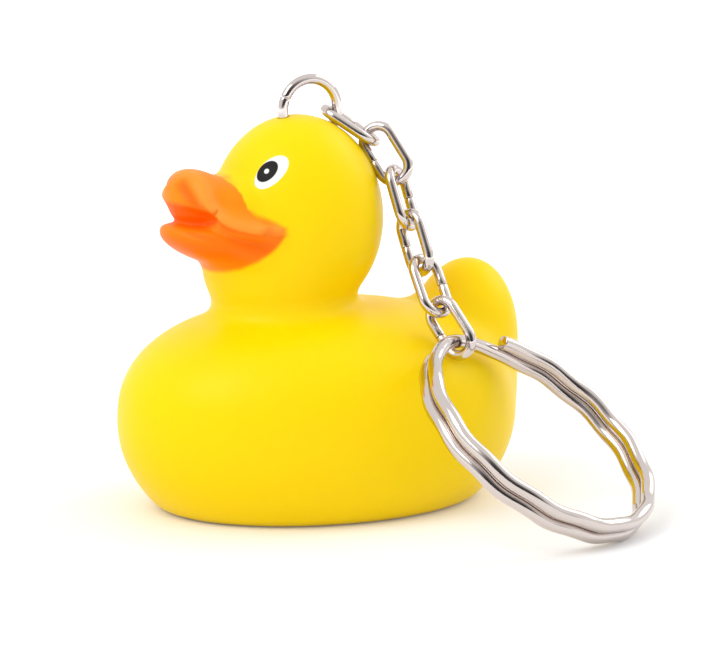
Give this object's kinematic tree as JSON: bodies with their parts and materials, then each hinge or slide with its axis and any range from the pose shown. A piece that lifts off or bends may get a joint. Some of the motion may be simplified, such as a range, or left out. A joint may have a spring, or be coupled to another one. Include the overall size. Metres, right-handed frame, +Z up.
{
  "type": "rubber duck keychain",
  "caption": "Rubber duck keychain: a hollow squeaking vinyl duck with a painted beak, hung by a metal loop and short chain from a two-turn split key ring.",
  "frame": {"origin": "centre of the duck's flat base", "axes": "+Z up from the base to the head, the duck faces -Y, its left side is +X; the chain and the split ring lie on the +X side"},
  "size_m": [0.0567, 0.0522, 0.0487],
  "materials": {
    "yellow_vinyl": "soft gloss, beak sprayed orange, eyes printed white and black",
    "squeaker_plastic": "moulded",
    "reed_plastic": "thin film",
    "plated_steel": "bright nickel plate"
  },
  "bodies": {
    "duck": {"duck_body": "yellow_vinyl", "squeaker_housing": "squeaker_plastic", "squeaker_reed": "reed_plastic"},
    "loop": {"head_loop": "plated_steel"},
    "link_1": {"chain_link_1": "plated_steel"},
    "link_2": {"chain_link_2": "plated_steel"},
    "link_3": {"chain_link_3": "plated_steel"},
    "link_4": {"chain_link_4": "plated_steel"},
    "link_5": {"chain_link_5": "plated_steel"},
    "link_6": {"chain_link_6": "plated_steel"},
    "ring": {"split_ring": "plated_steel"}
  },
  "joints": [
    {"name": "loop_turn", "type": "hinge", "parent": "duck", "child": "loop", "pos_m": [0, -0.001, 0.0447], "axis": [1, 0, 0], "continuous": true},
    {"name": "link_1_swing", "type": "hinge", "parent": "duck", "child": "link_1", "pos_m": [-0.00084, 0.00141, 0.04449], "axis": [-0.7579, 0.6414, -0.1191], "range_deg": [-60, 0]},
    {"name": "link_2_swing", "type": "hinge", "parent": "link_1", "child": "link_2", "pos_m": [0.00333, 0.00542, 0.04102], "axis": [-0.6936, 0.6998, -0.1707], "range_deg": [-60, 0]},
    {"name": "link_3_swing", "type": "hinge", "parent": "link_2", "child": "link_3", "pos_m": [0.006, 0.00696, 0.03686], "axis": [0.6048, 0.7173, 0.3458], "range_deg": [-80, 0]},
    {"name": "link_4_swing", "type": "hinge", "parent": "link_3", "child": "link_4", "pos_m": [0.00807, 0.0074, 0.03194], "axis": [-0.5416, 0.82, -0.1853], "range_deg": [-25, 0]},
    {"name": "link_5_swing", "type": "hinge", "parent": "link_4", "child": "link_5", "pos_m": [0.01056, 0.00786, 0.02724], "axis": [-0.8184, -0.1522, -0.5542], "range_deg": [-80, 0]},
    {"name": "link_6_swing", "type": "hinge", "parent": "link_5", "child": "link_6", "pos_m": [0.01351, 0.00847, 0.02284], "axis": [-0.2903, 0.9542, 0.0727], "range_deg": [-80, 0]},
    {"name": "ring_swing", "type": "hinge", "parent": "link_6", "child": "ring", "pos_m": [0.01567, 0.00936, 0.01992], "axis": [0.4678, -0.8827, 0.0446], "range_deg": [0, 90]}
  ]
}
